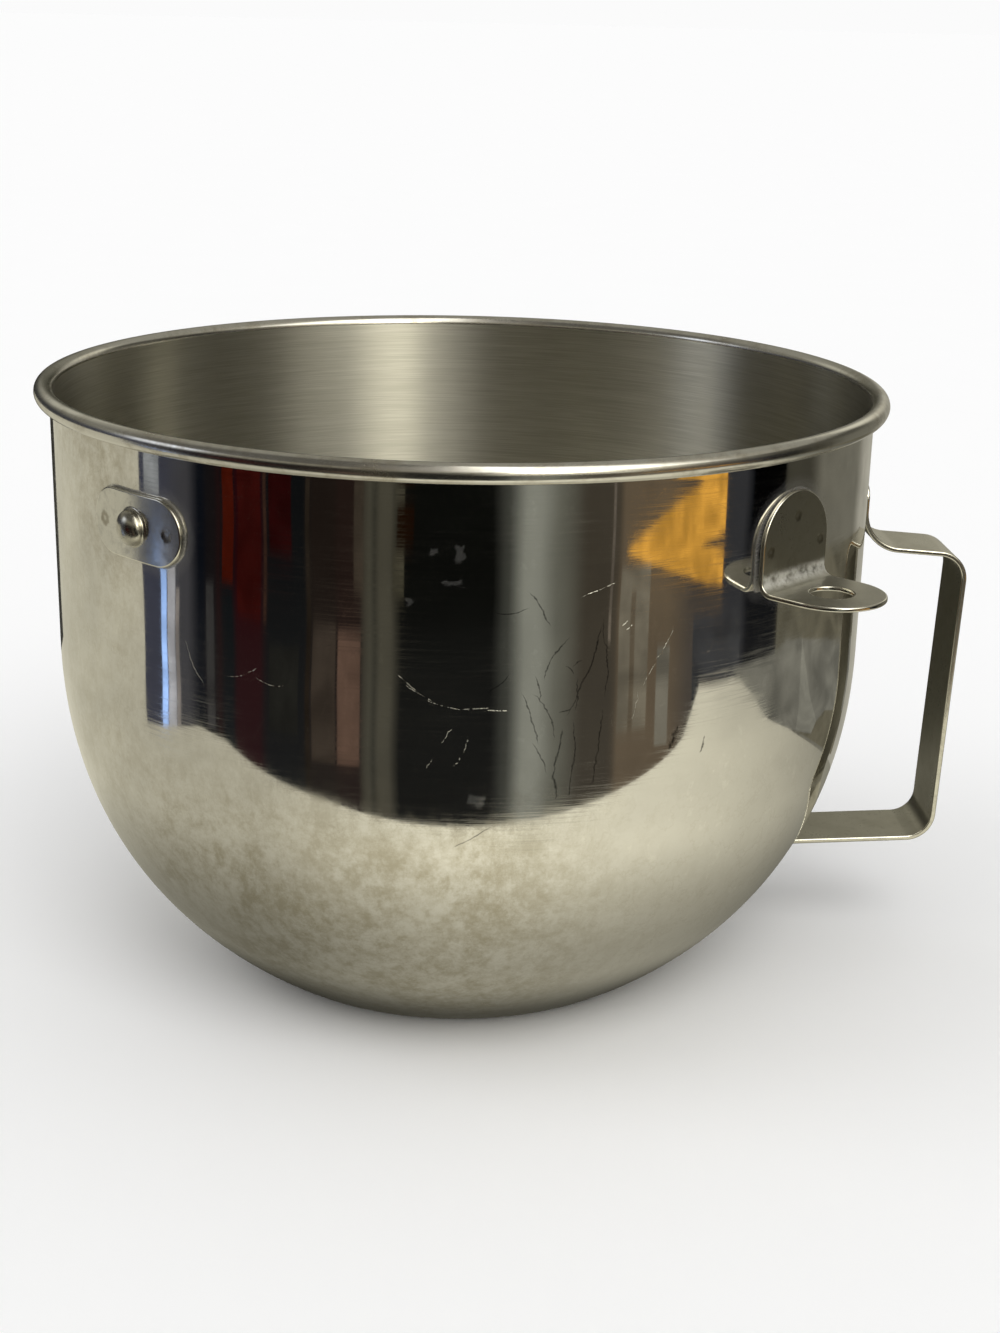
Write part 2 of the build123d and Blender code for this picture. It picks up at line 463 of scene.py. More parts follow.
def build_handle(face, edge):
    """The flat strap, bent from its upper foot out to the grip and back to its lower foot."""
    upper_height = bowl_height - upper_arm_depth
    lower_height = bowl_height - lower_arm_depth
    contact, down = belly_at(lower_height - lower_foot_length / 2)
    foot_middle = contact + seat_gap * Vector((-down.y, down.x))
    corners = [
        (seat_radius, upper_height + upper_foot_length),
        (seat_radius, upper_height),
        (wall_radius + finger_gap_top, upper_height - upper_arm_fall),
        (wall_radius + finger_gap_bottom, lower_height + lower_arm_rise),
        foot_middle + (lower_height - foot_middle.y) / down.y * down,
        foot_middle + lower_foot_length / 2 * down,
    ]
    radii = [foot_bend_radius, grip_bend_radius, grip_bend_radius, heel_bend_radius]
    path = BentPath(corners, radii)
    outline = rounded_strip(0, path.length, strap_width / 2, foot_corner_radius, 10)
    side = strap_width / 2 - fitting_edge_radius - 0.8
    bm = bmesh.new()
    flat_sheet(bm, outline, [], strap_sheet, fitting_edge_radius)
    slice_sheet(bm, "x", spaced(-side, side, 2.0))
    for start, end in path.bends():
        slice_sheet(bm, "y", [start - 0.8, end + 0.8] + spaced(start, end, 0.5))
    slice_sheet(bm, "y", spaced(foot_corner_radius, path.length - foot_corner_radius, 4.0))
    shape_sheet(bm, bent_strip(path, radians(handle_angle)))
    return finish_object("strap_handle", bm, [face, edge])


# ======== Materials ========

def calculation(operation):
    """A method that joins a value with another value or a number by a Math node."""
    return lambda value, *others: value.graph.math(operation, value, *others)


class Value:
    """A node's output, with which one calculates as with a number."""

    def __init__(self, graph, socket):
        self.graph, self.socket = graph, socket

    __add__, __sub__ = calculation("ADD"), calculation("SUBTRACT")
    __mul__, __truediv__ = calculation("MULTIPLY"), calculation("DIVIDE")
    __pow__, __abs__ = calculation("POWER"), calculation("ABSOLUTE")

    def __rsub__(self, other):
        return self.graph.math("SUBTRACT", other, self)

    def clamped(self):
        return self.graph.node("Clamp", {"Value": self})

    def ramp(self, low, high, start=0.0, end=1.0):
        """Smooth step from start to end as the value goes from low to high."""
        inputs = {"Value": self, "From Min": low, "From Max": high, "To Min": start, "To Max": end}
        return self.graph.node("MapRange", inputs, interpolation_type="SMOOTHSTEP")


class Graph:
    """A node tree with short calls for the nodes that the finishes use."""

    def __init__(self, tree):
        self.tree = tree

    def fill(self, node, inputs):
        """Links values to a node's inputs, or sets them to numbers, vectors and colours."""
        for name, value in inputs.items():
            socket = node.inputs[name]
            if isinstance(value, Value):
                self.tree.links.new(value.socket, socket)
            elif value is not None:
                is_colour = socket.type == "RGBA"
                socket.default_value = (*value, 1.0) if is_colour else value

    def node(self, kind, inputs, output=0, **settings):
        """One output of a new node, whose inputs are given by name or number."""
        made = self.tree.nodes.new("ShaderNode" + kind)
        for name, value in settings.items():
            setattr(made, name, value)
        self.fill(made, inputs)
        return Value(self, made.outputs[output])

    def math(self, operation, *values):
        return self.node("Math", dict(enumerate(values)), operation=operation)

    def largest(self, first, *others):
        for other in others:
            first = self.math("MAXIMUM", first, other)
        return first

    def length(self, x, y):
        return self.math("SQRT", x ** 2.0 + y ** 2.0)

    def vector(self, x, y, z):
        return self.node("CombineXYZ", {0: x, 1: y, 2: z})

    def position(self):
        return self.node("TexCoord", {}, output="Object")

    def split(self, vector):
        first = self.node("SeparateXYZ", {0: vector})
        return [Value(self, socket) for socket in first.socket.node.outputs]

    def azimuth(self, x, y):
        """Angle round the axis, from -Y towards +X."""
        return self.math("ARCTAN2", x, y * -1.0)

    def noise(self, vector, scale, detail=3.0, roughness=0.55, distortion=0.0):
        return self.node("TexNoise", {
            "Vector": vector, "Scale": scale, "Detail": detail, "Roughness": roughness,
            "Distortion": distortion,
        })

    def ragged(self, place, scale, swing, detail=3.0):
        """Noise on both sides of zero."""
        return (self.noise(place, scale, detail) - 0.5) * swing

    def blend(self, amount, first, second, kind="MIX"):
        """Mixes two colours."""
        inputs = {0: amount, 6: first, 7: second}
        return self.node("Mix", inputs, output=2, data_type="RGBA", blend_type=kind)

    def bump(self, height, strength, distance, normal=None):
        return self.node("Bump", {
            "Strength": strength, "Distance": distance, "Height": height, "Normal": normal,
        })

    def turned_lines(self, spacing, length):
        """Noise drawn out round the axis, as a turning or polishing wheel leaves it."""
        x, y, z = self.split(self.position())
        across = (z + self.length(x, y)) / spacing
        return self.noise(self.vector(x / length, y / length, across), 1.0, detail=2.0)

    def upright_smear(self, strength):
        """Shader inputs that smear reflections up and down the wall, across its turned lines."""
        tangent = self.node("Tangent", {}, direction_type="RADIAL", axis="Z")
        return {"Anisotropic": strength, "Anisotropic Rotation": 0.25, "Tangent": tangent}


def new_material(name, metallic=1.0):
    """A material, its graph, and the shader that gives its surface."""
    material = bpy.data.materials.new(name)
    material.use_nodes = True
    shader = material.node_tree.nodes["Principled BSDF"]
    shader.inputs["Metallic"].default_value = metallic
    return material, Graph(material.node_tree), shader


# Where the wall is scratched: degrees from -Y towards +X and height in millimetres, then the
# scratch's tilt in degrees, its length, its bend, and its width in millimetres.
# The scratches in this first list have their grooves painted near black, as painted shade.
SHADED_GROOVE_SCRATCHES = [
    (53.6, 128, 122, 10, 0.01, 0.25), (55.2, 116.5, 61, 12, -0.03, 0.25),
    (54.9, 103, 115, 13, 0.04, 0.22), (59.6, 113, 70, 24, 0.006, 0.28),
    (58.2, 91.5, 88, 20, 0.012, 0.25), (56.3, 94.5, 80, 10, 0.01, 0.35),
    (55.8, 86, 92, 9, -0.012, 0.38), (61.8, 115.5, 94, 20, 0.004, 0.2),
    (61.2, 94, 84, 21, 0.006, 0.21), (52.8, 102, 107, 14, 0.006, 0.22),
    (54, 92.5, 117, 9, 0.01, 0.2), (53.5, 109, 100, 7, 0.02, 0.2),
    (58.4, 107.5, 88, 8.5, 0.02, 0.2), (50.2, 127, 8, 8, 0.06, 0.2),
    (48.8, 110.5, 40, 7, 0.01, 0.2), (57.2, 113.5, 140, 3.5, 0.15, 0.2),
    (58, 115, 30, 3, -0.2, 0.2), (57, 103.5, 15, 3, 0.1, 0.2),
    (46, 72.5, 33, 11, 0.004, 0.22), (71.5, 94, 70, 6.5, 0.01, 0.75),
    (76, 91, 76, 4.5, 0.01, 0.43), (-72, 62, 40, 20, 0.01, 0.25),
    (148, 112, 30, 18, 0.01, 0.25), (206, 92, 75, 24, 0.008, 0.3),
    (262, 118, -20, 16, 0.02, 0.25),
]
BRIGHT_SCRATCHES = [
    (37.8, 110.2, -38, 6, 0.04, 0.17), (39.2, 108, -30, 7, 0.01, 0.14),
    (41.8, 105.4, -16, 8, 0.01, 0.18), (45.6, 104.6, 3, 7.5, 0.004, 0.15),
    (48.6, 104.2, -2, 5.5, 0.004, 0.13), (60.4, 131.8, 20, 9.5, 0.004, 0.05),
    (63.9, 123.5, 34, 2.4, 0, 0.08), (64.6, 122.4, 30, 2.2, 0, 0.08),
    (69.8, 117.5, 62, 9, 0.03, 0.055), (67.4, 110.5, 55, 7, -0.04, 0.055),
    (66, 103.5, 84, 8, 0.02, 0.05), (42.6, 98, 66, 4, 0, 0.13),
    (45, 96, 74, 4.5, 0, 0.13), (44, 92, 58, 3.5, 0, 0.11),
    (40.6, 91, 70, 3, 0, 0.1), (17, 108, 24, 9, 0.03, 0.07),
    (20.5, 106.5, -8, 8, 0.06, 0.06), (9, 108, -60, 12, 0.02, 0.06),
    (150, 104, 50, 12, 0.02, 0.11), (235, 100, 20, 14, 0.01, 0.11),
]

# Dried drops on the wall: degrees from -Y towards +X, height, and half of each size.
WATER_SPOTS = [
    (43.9, 140.8, 0.5, 1.5), (40.8, 141, 0.6, 0.1), (43.2, 133.9, 1.9, 0),
    (46.3, 82.4, 1.3, 0.9), (38.2, 129, 0.2, 0.2), (160, 120, 0.9, 1.4),
]

# Faint long scratches: tilt in degrees, seed, and the noise level that they start at.
HAIRLINES = [(62, 3, 0.52), (-35, 11, 0.55), (12, 23, 0.54), (96, 31, 0.56)]


SCRATCH_INPUTS = ("Arc", "Height", "Centre", "Level", "Cosine", "Sine", "Half", "Bend", "Width")


def turned(arc, height, cosine, sine):
    """Places along and across a direction on the wall."""
    return arc * cosine + height * sine, height * cosine - arc * sine


def scratch_group():
    """A node group that draws one bent scratch on the wall from its place and size."""
    tree = bpy.data.node_groups.new("scratch_line", "ShaderNodeTree")
    for name in SCRATCH_INPUTS:
        tree.interface.new_socket(name, in_out="INPUT", socket_type="NodeSocketFloat")
    tree.interface.new_socket("Line", in_out="OUTPUT", socket_type="NodeSocketFloat")
    graph = Graph(tree)
    given = tree.nodes.new("NodeGroupInput").outputs
    arc, height, centre, level, cosine, sine, half, bend, width = [
        Value(graph, given[name]) for name in SCRATCH_INPUTS
    ]
    along, across = turned(arc - centre, height - level, cosine, sine)
    off = abs(across - along ** 2.0 * bend)
    taper = (1.0 - (abs(along) / half) ** 3.0).clamped()
    line = (1.0 - off / ((taper + 0.02) * width)).clamped() * (taper * 2.0).clamped()
    graph.fill(tree.nodes.new("NodeGroupOutput"), {"Line": line})
    return tree


def draw_scratches(graph, group, scratches, arc, height):
    """The strongest of a list of scratches at each point of the wall, from 0 to 1."""
    lines = []
    for angle, level, tilt, length, bend, width in scratches:
        signed_angle = (angle + 180) % 360 - 180
        centre = radians(signed_angle) * wall_radius
        direction = cos(radians(tilt)), sin(radians(tilt))
        values = (arc, height, centre, level, *direction, length / 2, bend, width)
        lines.append(graph.node("Group", dict(zip(SCRATCH_INPUTS, values)), node_tree=group))
    return graph.largest(*lines)


def hairlines(graph, arc, height):
    """Faint long scratches in a few directions, broken up at random, from 0 to 1."""
    lines = []
    for tilt, seed, start in HAIRLINES:
        along, across = turned(arc, height, cos(radians(tilt)), sin(radians(tilt)))
        stretched = graph.vector(along / 48.0, across / 4.2, seed)
        level = abs(graph.noise(stretched, 1.0, detail=1.0) - 0.5)
        here = graph.noise(graph.vector(arc * 0.09, height * 0.09, seed + 7.0), 1.0)
        lines.append((1.0 - level / 0.006).clamped() * here.ramp(start, start + 0.05))
    return graph.largest(*lines)


def outline_mark(graph, arc, height, centre, level, half_run, half_rise, near, far):
    """A line round a fitting's edge on the wall: 1 up to the near distance, 0 past the far one."""
    s = graph.largest(abs(arc - centre) - half_run, 0.0)
    t = graph.largest(abs(height - level) - half_rise, 0.0)
    return graph.length(s, t).ramp(near, far, 1.0, 0.0)


def fitting_marks(graph, arc, height, width):
    """Residue and painted contact shade where the plate and the ears meet the wall, strongest right
    at their edges.
    """
    arch, foot = ear_high.z - ear_half_width, ear_low.z + ear_sheet
    plate_run = plate_length / 2 - plate_half_height
    shapes = [(0.0, plate_middle, plate_run, 0.0, plate_half_height)]
    for centre in (radians(90) * wall_radius, radians(-90) * wall_radius):
        shapes.append((centre, arch, 0.0, 0.0, ear_half_width))
        shapes.append((centre, (arch + foot) / 2, ear_half_width - 1, (arch - foot) / 2 - 1, 1.0))
    return graph.largest(*(
        outline_mark(graph, arc, height, *shape, shape[-1] + width) for shape in shapes
    ))


def water_spots(graph, place, arc, height):
    """Dried drops with ragged edges, from 0 to 1."""
    ragged = graph.ragged(place, 520.0, 4.0, detail=4.0)
    arc, height = arc + ragged, height - ragged
    return graph.largest(*(
        outline_mark(graph, arc, height, radians(angle) * wall_radius, *spot, 0.3, 0.9)
        for angle, *spot in WATER_SPOTS
    ))


def polished_outside():
    """Mirror-polished steel: turning lines, water stains and haze, residue and scratches.
    The residue at the fittings' edges and the dark scratches' grooves carry painted shade.
    """
    material, graph, shader = new_material("polished_outside")
    place = graph.position()
    x, y, z = graph.split(place)
    angle = graph.azimuth(x, y)
    arc, height = angle * wall_radius, z / MM
    fine = graph.turned_lines(spacing=0.00024, length=0.016)
    broad = graph.turned_lines(spacing=0.0028, length=0.14)

    blotch = graph.noise(place, 42.0, detail=10.0, roughness=0.76, distortion=0.5)
    speck = graph.noise(place, 230.0, detail=7.0, roughness=0.78)
    drawn = graph.vector(x / 0.0045, y / 0.0045, z / 0.010)
    drips = graph.noise(drawn, 1.0, detail=7.0, roughness=0.72)
    worst = graph.noise(place, 11.0).ramp(0.38, 0.62, 0.35, 1.0)
    worst *= abs(angle - radians(100)).ramp(0.45, 0.95, 0.25, 1.0)
    left = abs(angle - radians(-14)).ramp(0.35, 0.10)
    # darker low on the belly and in a patch left of the front: more haze and veins there
    darker_low_and_left = graph.largest(z.ramp(0.098, 0.056), left * 0.9)
    stain = blotch * 0.50 + drips * 0.34 + speck * 0.63
    haze = stain.ramp(0.60, 0.88) * (darker_low_and_left + 0.10) * worst
    pale = speck.ramp(0.52, 0.62) * drips.ramp(0.52, 0.40)
    veins = abs(graph.noise(place, 85.0, detail=5.0, roughness=0.65) - 0.5).ramp(0.022, 0.0)

    # painted shade: a dark line at the fittings' edges and a brown halo round them, partly residue,
    # partly contact shade between fitting and wall
    residue_and_gap_shadow = fitting_marks(graph, arc, height, 0.7) * speck.ramp(0.3, 0.6)
    stain_halo_and_shade = fitting_marks(graph, arc, height, 4.0) * speck
    spots = water_spots(graph, place, arc, height)
    arc += graph.ragged(place, 170.0, 2.6, detail=4.0) + graph.ragged(place, 640.0, 1.1)
    breaks = graph.noise(place, 1300.0, detail=2.0).ramp(0.40, 0.56)
    group = scratch_group()
    # painted shade: these scratches' grooves are darkened to stand in for their shade and dark
    # reflection
    dark = draw_scratches(graph, group, SHADED_GROOVE_SCRATCHES, arc, height) * (breaks * 0.40 + 0.60)
    bright = draw_scratches(graph, group, BRIGHT_SCRATCHES, arc, height) * (breaks * 0.75 + 0.10)
    hair = hairlines(graph, arc, height)

    tone = (0.64, 0.625, 0.59)
    for amount, mark_tone in (
        (haze, (0.43, 0.40, 0.33)), (veins * darker_low_and_left * 0.14, (0.36, 0.32, 0.24)),
        (pale * 0.30, (0.80, 0.79, 0.75)), (stain_halo_and_shade * 0.45, (0.30, 0.27, 0.20)),
        (residue_and_gap_shadow * 0.75, (0.13, 0.12, 0.09)), (spots * 0.2, (0.66, 0.66, 0.62)),
        (dark * 0.92, (0.025, 0.025, 0.022)), (bright, (0.80, 0.80, 0.76)),
    ):
        tone = graph.blend(amount, tone, mark_tone)

    smudge = graph.noise(place, 20.0, detail=5.0).ramp(0.42, 0.75)
    rough = fine.ramp(0.36, 0.74) * (smudge + 0.45) * 0.105 + smudge * 0.02 + haze * 0.12
    rough += hair * 0.05 + residue_and_gap_shadow * 0.30 + spots * speck * 0.12 + bright * 0.40 + 0.022
    surface = graph.bump(graph.noise(place, 26.0, detail=1.0), 0.35, 0.0006)
    surface = graph.bump(fine * 0.65 + broad * 0.35, 0.012, 0.0001, surface)
    graph.fill(shader, {
        "Base Color": tone,
        "Metallic": (1.0 - (residue_and_gap_shadow * 0.50 + stain_halo_and_shade * 0.12 + spots * 0.035)).clamped(),
        "Roughness": rough.clamped(),
        "Normal": graph.bump(bright * -1.0, 0.40, 0.0001, surface),
        **graph.upright_smear(0.6),
    })
    return material


def polished_bead():
    """The rolled rim: satin, rubbed finely along its length, with dull brown patches."""
    material, graph, shader = new_material("polished_bead")
    place = graph.position()
    lines = graph.turned_lines(spacing=0.0005, length=0.05)
    rub = graph.noise(place, 70.0, detail=6.0, roughness=0.7).ramp(0.45, 0.72)
    surface = graph.bump(lines, 0.08, 0.0001)
    graph.fill(shader, {
        "Base Color": graph.blend(rub, (0.62, 0.605, 0.56), (0.44, 0.41, 0.35)),
        "Roughness": rub * 0.08 + lines * 0.06 + 0.17,
        "Normal": graph.bump(graph.noise(place, 60.0), 0.2, 0.0004, surface),
    })
    return material


def brushed_inside():
    """Satin inside, brushed round the axis, so that lights smear up and down the wall."""
    material, graph, shader = new_material("brushed_inside")
    fine = graph.turned_lines(spacing=0.0003, length=0.018)
    broad = graph.turned_lines(spacing=0.0014, length=0.06)
    lines = fine * 0.72 + broad * 0.28
    patches = graph.noise(graph.position(), 16.0, detail=5.0, roughness=0.6)
    tone = lines * 0.72 + patches * 0.28
    graph.fill(shader, {
        "Base Color": graph.blend(tone.ramp(0.34, 0.66), (0.44, 0.425, 0.37), (0.58, 0.565, 0.505)),
        "Roughness": tone.ramp(0.2, 0.8, 0.36, 0.28),
        "Normal": graph.bump(lines, 0.10, 0.0001),
        **graph.upright_smear(1.0),
    })
    return material


def weld_scorch_and_dent_shade(graph, place, welds, size):
    """A dark scorched ring of this size in each dent, also painted shade of the dent's rim.
    The welds are given for X and Y above 0.
    """
    x, y, z = graph.split(place)
    folded = graph.vector(abs(x), abs(y), z)
    ragged = graph.ragged(place, 900.0, 0.0012)
    rings = []
    for weld in welds:
        inputs = {0: folded, 1: weld * MM}
        away = graph.node("VectorMath", inputs, output="Value", operation="DISTANCE") + ragged
        pale = away.ramp(size * 0.50 * MM, size * 0.10 * MM)
        rings.append(away.ramp(size * 1.15 * MM, size * 0.65 * MM) - pale * 0.60)
    return graph.largest(0.0, *rings)


def satin_fitting(name, shade=1.0, frost_and_highlight_height=None, welds=()):
    """Satin faces of the strap and the ears, with dull specks and, in the ears' bend, frosting.
    The frosting is also a painted highlight along the bend, and shade darkens the tone as painted
    shade.
    """
    material, graph, shader = new_material(name)
    place = graph.position()
    patches = graph.noise(place, 70.0, detail=6.0, roughness=0.62)
    grain = graph.noise(place, 1700.0)
    flecks = graph.noise(place, 620.0, detail=4.0, roughness=0.7)
    dull = patches.ramp(0.36, 0.70)
    # shade below 1 darkens this copy of the satin steel as painted shade
    clean, worn = [
        tuple(shade * part for part in tone) for tone in ((0.54, 0.52, 0.445), (0.45, 0.43, 0.355))
    ]
    tone = graph.blend(dull, clean, worn)
    tone = graph.blend(flecks.ramp(0.55, 0.70) * 0.35, tone, (0.24, 0.22, 0.16))
    if welds:
        # painted shade: the ring darkens each dent's rim, partly scorch, partly the dent's shading
        scorch_and_dent_shade = weld_scorch_and_dent_shade(graph, place, welds, dent_radius) * 0.55
        tone = graph.blend(scorch_and_dent_shade, tone, (0.13, 0.11, 0.07))
    rough = dull * 0.06 + grain * 0.08 + 0.24
    if frost_and_highlight_height is not None:
        off = abs(graph.split(place)[2] - frost_and_highlight_height * MM)
        # painted highlight: a pale band along the ears' bend, partly frosting, partly the bend's
        # highlight
        frost_and_bend_highlight = off.ramp(0.0027, 0.0006) * patches.ramp(0.22, 0.48) * flecks.ramp(0.20, 0.60)
        tone = graph.blend(frost_and_bend_highlight * 0.80, tone, (0.86, 0.86, 0.82))
        rough += frost_and_bend_highlight * 0.22
        graph.fill(shader, {"Metallic": 1.0 - frost_and_bend_highlight * 0.22})
    surface = graph.bump(grain, 0.10, 0.00008)
    graph.fill(shader, {
        "Base Color": tone, "Roughness": rough,
        "Normal": graph.bump(patches, 0.06, 0.0003, surface),
    })
    return material


def polished_fitting(name, base, roughness, welds=()):
    """Smooth steel of rounded edges, the latch plate and the pin."""
    material, graph, shader = new_material(name)
    place = graph.position()
    wear = graph.noise(place, 300.0, detail=5.0, roughness=0.65).ramp(0.42, 0.72)
    tone = graph.blend(wear, base, tuple(0.80 * part for part in base))
    if welds:
        # painted shade: the ring darkens the dent's rim, partly scorch, partly the dent's shading
        scorch_and_dent_shade = weld_scorch_and_dent_shade(graph, place, welds, 1.3 * dent_radius) * 0.70
        tone = graph.blend(scorch_and_dent_shade, tone, (0.20, 0.17, 0.12))
    graph.fill(shader, {
        "Base Color": tone, "Roughness": wear * 0.08 + roughness,
        "Normal": graph.bump(graph.noise(place, 500.0), 0.05, 0.0001),
    })
    return material


# ======== Studio: floor, soft light, and a room of cards that only the steel mirrors ========

# Angles in the studio are headings of mirrored rays, in degrees to the right of the camera, and
# distances are from the bowl's axis, in metres.

# The dark floor round the table and the walls, as upright bands: start, end and colour.  Between
# two bands the colours blend.
LEFT_BANDS = [
    (-180, -170, (0.04, 0.038, 0.024)),
    (-95.5, -90, (0.07, 0.075, 0.11)),
    (-81, -78.5, (0.08, 0.08, 0.09)),
    (-75, -72.5, (0.006, 0.008, 0.013)),
    (-71.5, -69, (0.012, 0.01, 0.011)),
    (-68, -66.8, (0.022, 0.009, 0.009)),
    (-66, -63, (0.006, 0.009, 0.011)),
    (-62, -54.6, (0.028, 0.004, 0.006)),
    (-53, -42, (0.008, 0.009, 0.01)),
    (-39.8, -33.5, (0.02, 0.014, 0.011)),
    (-32.5, -26.3, (0.025, 0.015, 0.012)),
    (-24.8, -23.2, (0.1, 0.095, 0.07)),
    (-22.4, -22.0, (0.05, 0.048, 0.036)),
    (-21.2, -18.4, (0.105, 0.098, 0.072)),
    (-15.8, 0, (0.0055, 0.006, 0.005)),
]
RIGHT_BANDS = [
    (0, 9, (0.0055, 0.006, 0.005)),
    (12, 13, (0.075, 0.078, 0.066)),
    (17, 20.5, (0.39, 0.4, 0.345)),
    (26, 27, (0.19, 0.19, 0.155)),
    (33, 42, (0.08, 0.068, 0.05)),
    (43, 58, (0.19, 0.145, 0.095)),
    (65, 74.5, (0.1, 0.085, 0.07)),
    (76, 82, (0.052, 0.054, 0.06)),
    (84, 96.5, (0.006, 0.007, 0.009)),
    (98, 109, (0.085, 0.08, 0.06)),
    (115, 140, (0.24, 0.23, 0.185)),
    (147, 166, (0.52, 0.5, 0.42)),
    (175, 180, (0.04, 0.038, 0.024)),
]
UPPER_BANDS = [
    (-180, -170, (0.27, 0.26, 0.21)),
    (-160, -146, (0.62, 0.6, 0.5)),
    (-136, -100, (0.24, 0.23, 0.19)),
    (-91, -80, (1.6, 1.7, 1.9)),
    (-70, -30, (0.3, 0.28, 0.22)),
    (-18, 12, (0.28, 0.26, 0.21)),
    (19, 27, (7.8, 7.45, 6.05)),
    (40, 52, (1.00, 0.95, 0.76)),
    (66, 80, (0.2, 0.19, 0.15)),
    (90, 138, (0.08, 0.075, 0.06)),
    (148, 158, (0.92, 0.88, 0.72)),
    (167, 180, (0.27, 0.26, 0.21)),
]
CEILING_BANDS = [
    (-180, -140, (0.34, 0.33, 0.28)),
    (-100, -35, (0.1, 0.095, 0.08)),
    (-14, -6, (0.25, 0.23, 0.19)),
    (20, 54, (3.00, 2.94, 2.65)),
    (82, 96, (0.42, 0.4, 0.33)),
    (125, 180, (0.36, 0.35, 0.3)),
]

# Cards on the dark floor: name, start, end, near and far distance, and colour.
CARDS = [
    ("blue_window", -88.9, -86.7, 0.2, 0.6, (0.57, 0.88, 1.6)),
    ("pale_window", -86.4, -83.4, 0.2, 0.6, (0.56, 0.57, 0.62)),
    ("window_frame", -83.2, -81.8, 0.2, 0.52, (0.34, 0.31, 0.29)),
    ("far_window", -94, -88.5, 0.7, 0.95, (0.34, 0.36, 0.38)),
    ("grey_edge", -72, -69.3, 0.34, 0.54, (0.056, 0.055, 0.055)),
    ("red_stripe", -66.2, -62.7, 0.545, 2, (0.07, 0.008, 0.003)),
    ("red_cloth", -61.4, -54.5, 0.5, 2, (0.042, 0.005, 0.004)),
    ("red_cloth_hem", -53.7, -52.8, 0.5, 2, (0.05, 0.026, 0.018)),
    ("dark_red_cloth", -52, -45.5, 0.6, 2, (0.026, 0.003, 0.003)),
    ("dull_box", -52, -43.5, 0.36, 0.47, (0.023, 0.023, 0.02)),
    ("thin_post", -41.5, -40.3, 0.2, 2, (0.028, 0.021, 0.015)),
    ("mauve_card", -39.8, -33.3, 0.31, 0.5, (0.062, 0.048, 0.037)),
    ("salmon_card", -32.7, -26.4, 0.31, 0.49, (0.145, 0.09, 0.066)),
    ("pale_hem", -28.2, -25.6, 0.56, 2, (0.06, 0.047, 0.034)),
    ("cream_tag", -17.6, -14.6, 0.56, 0.63, (0.085, 0.078, 0.052)),
    ("far_cream_tag", -17.2, -14.8, 0.72, 0.78, (0.07, 0.065, 0.045)),
    ("brown_tag", -16.6, -12.4, 0.635, 0.715, (0.016, 0.006, 0.002)),
    ("tan_panel", 43.2, 51.6, 0.365, 0.61, (0.23, 0.205, 0.155)),
    ("tan_panel_shade", 46.3, 47.6, 0.365, 0.56, (0.16, 0.13, 0.09)),
    ("pale_panel", 54.5, 58.5, 0.34, 0.46, (0.22, 0.205, 0.165)),
    ("navy_card", 66, 82, 0.26, 0.5, (0.06, 0.062, 0.066)),
    ("black_box", 84.5, 97.2, 0.66, 2, (0.001, 0.001, 0.001)),
    ("side_shelf", 97.2, 150, 0.2, 0.56, (0.165, 0.152, 0.108)),
    ("pale_cable", 40.3, 41, 0.47, 0.85, (0.2, 0.17, 0.135)),
]

# Cards with an outline of their own: name, level, colour, and each corner's heading and distance.
OUTLINED_CARDS = [
    ("orange_card", 4, (0.95, 0.48, 0.075), [
        (44, 0.645), (48.5, 0.672), (54.5, 0.708), (61.5, 0.752), (65.5, 0.775), (68, 0.8),
        (74.8, 0.82), (75, 0.668), (70, 0.652), (66.5, 0.64), (70, 0.636), (75, 0.622),
        (75, 0.552), (70, 0.556), (64, 0.577), (54.5, 0.606), (48, 0.63),
    ]),
    ("low_shelf", 40, (0.235, 0.23, 0.195), [
        (79, 0.413), (88, 0.413), (94, 0.414), (99, 0.421), (102, 0.431),
        (109, 0.422), (123, 0.4), (136, 0.378), (150, 0.36), (150, 0.25),
        (138, 0.268), (128.5, 0.282), (123, 0.272), (121, 0.253), (110, 0.276),
        (103, 0.297), (96.5, 0.322), (89.5, 0.359), (86, 0.375), (83, 0.391),
    ]),
    ("pale_wedge", 41, (0.3, 0.295, 0.25), [
        (110.5, 0.42), (123, 0.272), (121, 0.255), (110.5, 0.278),
    ]),
]

# A pale patch on the room's wall, which lights the rim's front.
wall_light_start = 7.0
wall_light_end = 45.0
wall_light_low = 0.03
wall_light_high = 0.62
wall_light_tone = (0.80, 0.76, 0.62)

table_front = 0.207          # the table's edges, from the bowl's axis
table_left = 0.303
table_right = 0.385
table_back = 0.250
table_tone = (1.0, 0.96, 0.77)
TABLE_CUTS = [               # slanting edges at its corners: distance, and heading of their middle
    (0.183, 141.0), (0.4065, 60.6), (0.2213, -8.7), (0.3178, -43.6),
]
cloth_start = -155.0         # pale cloth on the left, which goes on from the table
cloth_end = -95.7
room_radius = 2.0
room_height = 1.4
card_lift = 0.0001           # each card lies this much over the one below it
mirror_turn = 0.6            # a wall point's angle as a share of the angle that it mirrors
background_white = 0.965
background_fill = 0.76       # the background's strength where it lights the scene unseen


def table_reach(turn):
    """How far the table goes in a direction, as an angle from the camera's side."""
    side, ahead = sin(turn), -cos(turn)
    limits = [room_radius]
    if abs(side) > 1e-9:
        limits.append(table_right / side if side > 0 else -table_left / side)
    if abs(ahead) > 1e-9:
        limits.append(table_back / ahead if ahead > 0 else -table_front / ahead)
    for distance, heading in TABLE_CUTS:
        share = cos(turn - radians(heading))
        if share > 1e-9:
            limits.append(distance / share)
    return min(limits)


def floor_place(heading, reach=None):
    """Floor point that a mirrored ray with this heading meets, at the table's edge if not told."""
    turn = radians(heading)
    for _ in range(60):
        distance = table_reach(turn) if reach is None else reach
        turn = radians(heading) - asin(wall_radius * MM * sin(mirror_turn * turn) / distance)
    return distance * sin(turn), -distance * cos(turn)


